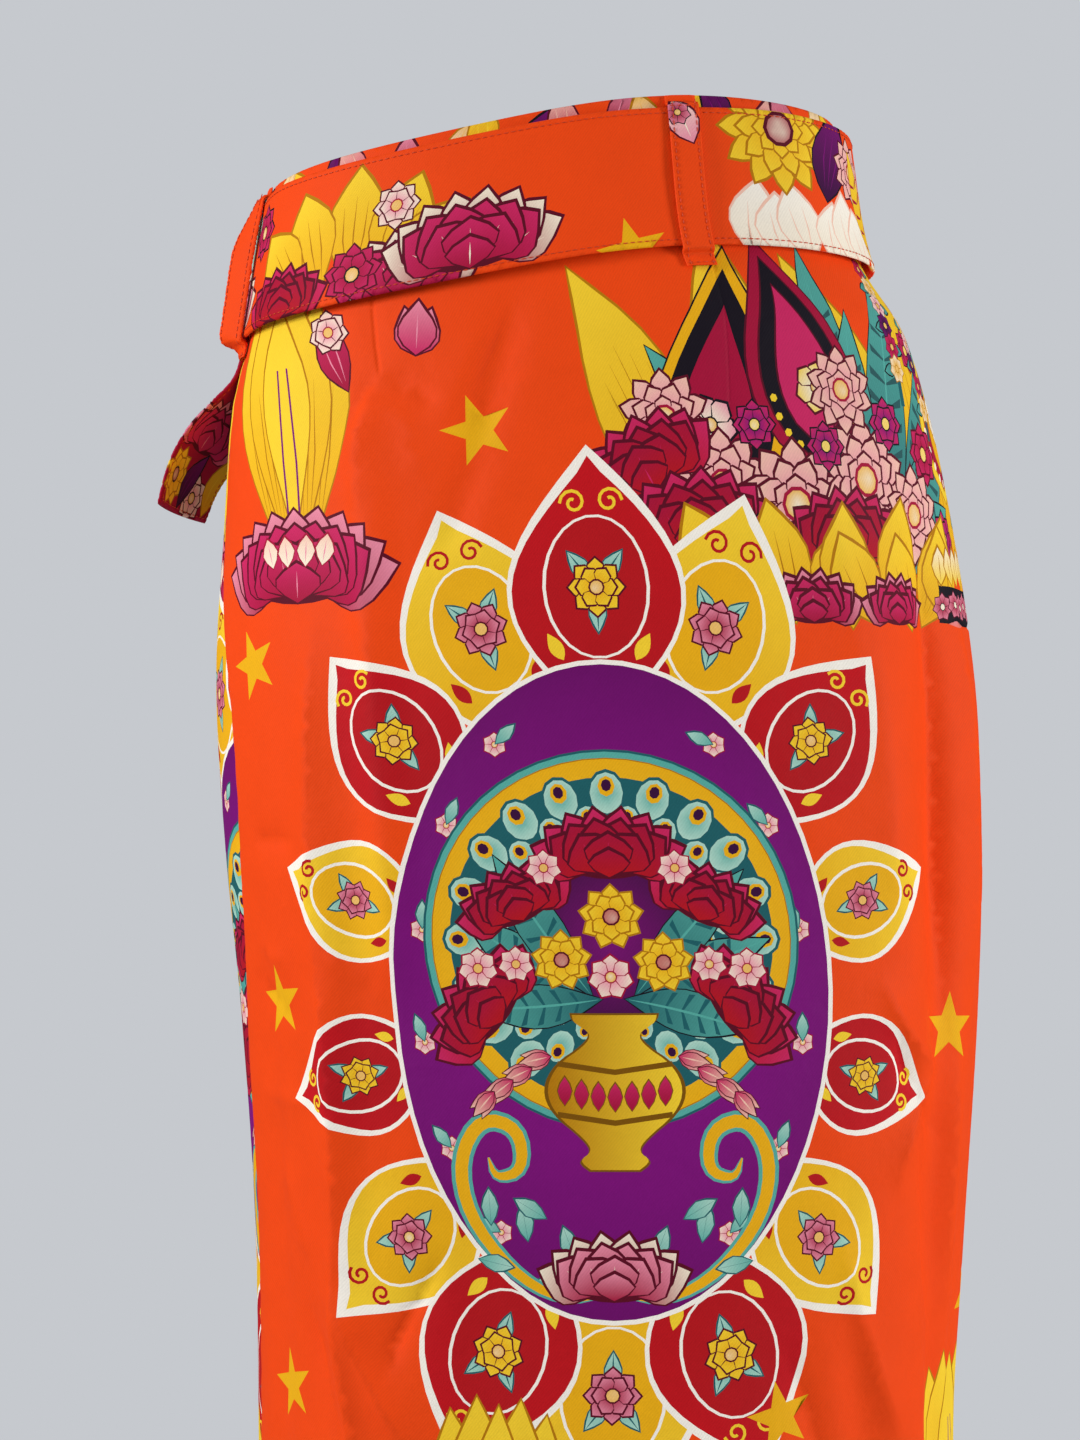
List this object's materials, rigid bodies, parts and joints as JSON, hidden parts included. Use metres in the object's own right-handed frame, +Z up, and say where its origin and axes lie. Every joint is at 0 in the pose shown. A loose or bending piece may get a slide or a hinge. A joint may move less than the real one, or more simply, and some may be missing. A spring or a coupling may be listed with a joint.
{
  "type": "silk skirt",
  "caption": "High-waisted straight skirt in printed orange silk, in its worn hollow form, with a wide self-fabric belt held in loops and its free tail.",
  "frame": {"origin": "middle of the waist seam, at the height where the wearer's waist holds the skirt", "axes": "+Z up along the body, -Y out of the front panel, +X towards the side where the waist rides higher"},
  "size_m": [0.3779, 0.2553, 0.7583],
  "materials": {
    "printed_silk": "soft satin sheen, fine twill, printed",
    "banded_silk": "stiffened printed silk with edge stitching",
    "loop_silk": "narrow folded silk strap, stitched along both edges"
  },
  "bodies": {
    "root": {"front_panel": "printed_silk", "back_right_panel": "printed_silk", "back_left_panel": "printed_silk", "zip_placket": "printed_silk", "waistband": "banded_silk", "belt": "banded_silk", "belt_tail": "banded_silk", "belt_loop_front": "loop_silk", "belt_loop_right": "loop_silk", "belt_loop_back": "loop_silk", "belt_loop_left": "loop_silk"}
  },
  "joints": []
}
